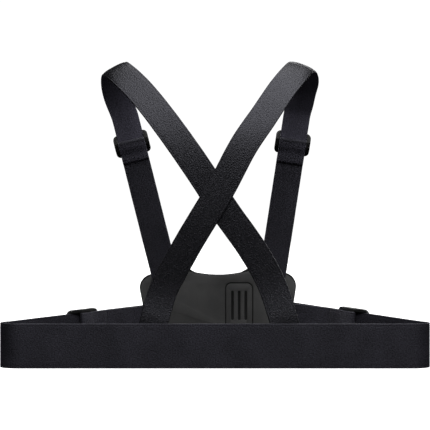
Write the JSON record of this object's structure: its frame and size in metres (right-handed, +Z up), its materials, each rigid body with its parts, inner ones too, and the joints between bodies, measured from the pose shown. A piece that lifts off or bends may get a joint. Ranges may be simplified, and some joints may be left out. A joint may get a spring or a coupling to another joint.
{
  "type": "chest harness for a small camera",
  "caption": "Elastic chest harness with crossed shoulder straps, a waist belt, webbing sliders and a padded chest plate with a tilting camera mount.",
  "frame": {"origin": "middle of the bottom of the whole harness: the lower edge of the waist belt and of the chest plate are at z = 0", "axes": "+Z up on a standing wearer, -Y the wearer's back, +Y forward through the chest plate, +X to the wearer's right-hand side as seen from behind"},
  "size_m": [0.3816, 0.1764, 0.2773],
  "materials": {
    "strap_webbing": "woven black elastic webbing, fine ribs",
    "belt_webbing": "woven black elastic webbing, wide",
    "plate": "moulded, fine matte grain",
    "pad": "dark grey moulded soft rubber, matte",
    "mount_plastic": "black moulded nylon",
    "slider": "black moulded acetal, slight gloss",
    "knob": "black moulded, lobed grip",
    "steel": "plain steel"
  },
  "bodies": {
    "harness": {"chest_plate": "plate", "chest_pad": "pad", "mount_socket": "mount_plastic", "socket_screws": "steel", "left_shoulder_strap": "strap_webbing", "right_shoulder_strap": "strap_webbing", "waist_belt": "belt_webbing", "left_shoulder_return": "strap_webbing", "right_shoulder_return": "strap_webbing", "left_belt_return": "belt_webbing", "right_belt_return": "belt_webbing"},
    "left_shoulder_adjuster": {"left_shoulder_slider": "slider", "left_shoulder_fold": "strap_webbing"},
    "right_shoulder_adjuster": {"right_shoulder_slider": "slider", "right_shoulder_fold": "strap_webbing"},
    "left_belt_adjuster": {"left_belt_slider": "slider", "left_belt_fold": "belt_webbing"},
    "right_belt_adjuster": {"right_belt_slider": "slider", "right_belt_fold": "belt_webbing"},
    "buckle": {"quick_release_buckle": "mount_plastic", "hex_nut": "steel"},
    "arm": {"tilt_arm": "mount_plastic"},
    "thumb": {"thumb_screw": "steel", "thumb_knob": "knob"}
  },
  "joints": [
    {"name": "left_shoulder_adjust", "type": "slide", "parent": "harness", "child": "left_shoulder_adjuster", "axis": [-0.2372, -0.1335, 0.9622], "range_m": [-0.06, 0.015], "deforming": ["left_shoulder_return"]},
    {"name": "right_shoulder_adjust", "type": "slide", "parent": "harness", "child": "right_shoulder_adjuster", "axis": [0.1458, -0.136, 0.9799], "range_m": [-0.06, 0.015], "deforming": ["right_shoulder_return"]},
    {"name": "left_belt_adjust", "type": "slide", "parent": "harness", "child": "left_belt_adjuster", "axis": [-0.7701, -0.6352, -0.0585], "range_m": [-0.025, 0.02], "deforming": ["left_belt_return"]},
    {"name": "right_belt_adjust", "type": "slide", "parent": "harness", "child": "right_belt_adjuster", "axis": [0.7518, -0.6547, -0.0783], "range_m": [-0.025, 0.02], "deforming": ["right_belt_return"]},
    {"name": "buckle_slide", "type": "slide", "parent": "harness", "child": "buckle", "axis": [0, 0, 1], "range_m": [0, 0.045]},
    {"name": "arm_tilt", "type": "hinge", "parent": "buckle", "child": "arm", "pos_m": [0.003, 0.05275, 0.0412], "axis": [1, 0, 0], "range_deg": [-90, 90]},
    {"name": "thumb_turn", "type": "hinge", "parent": "buckle", "child": "thumb", "pos_m": [0.003, 0.05275, 0.0412], "axis": [1, 0, 0], "continuous": true}
  ]
}
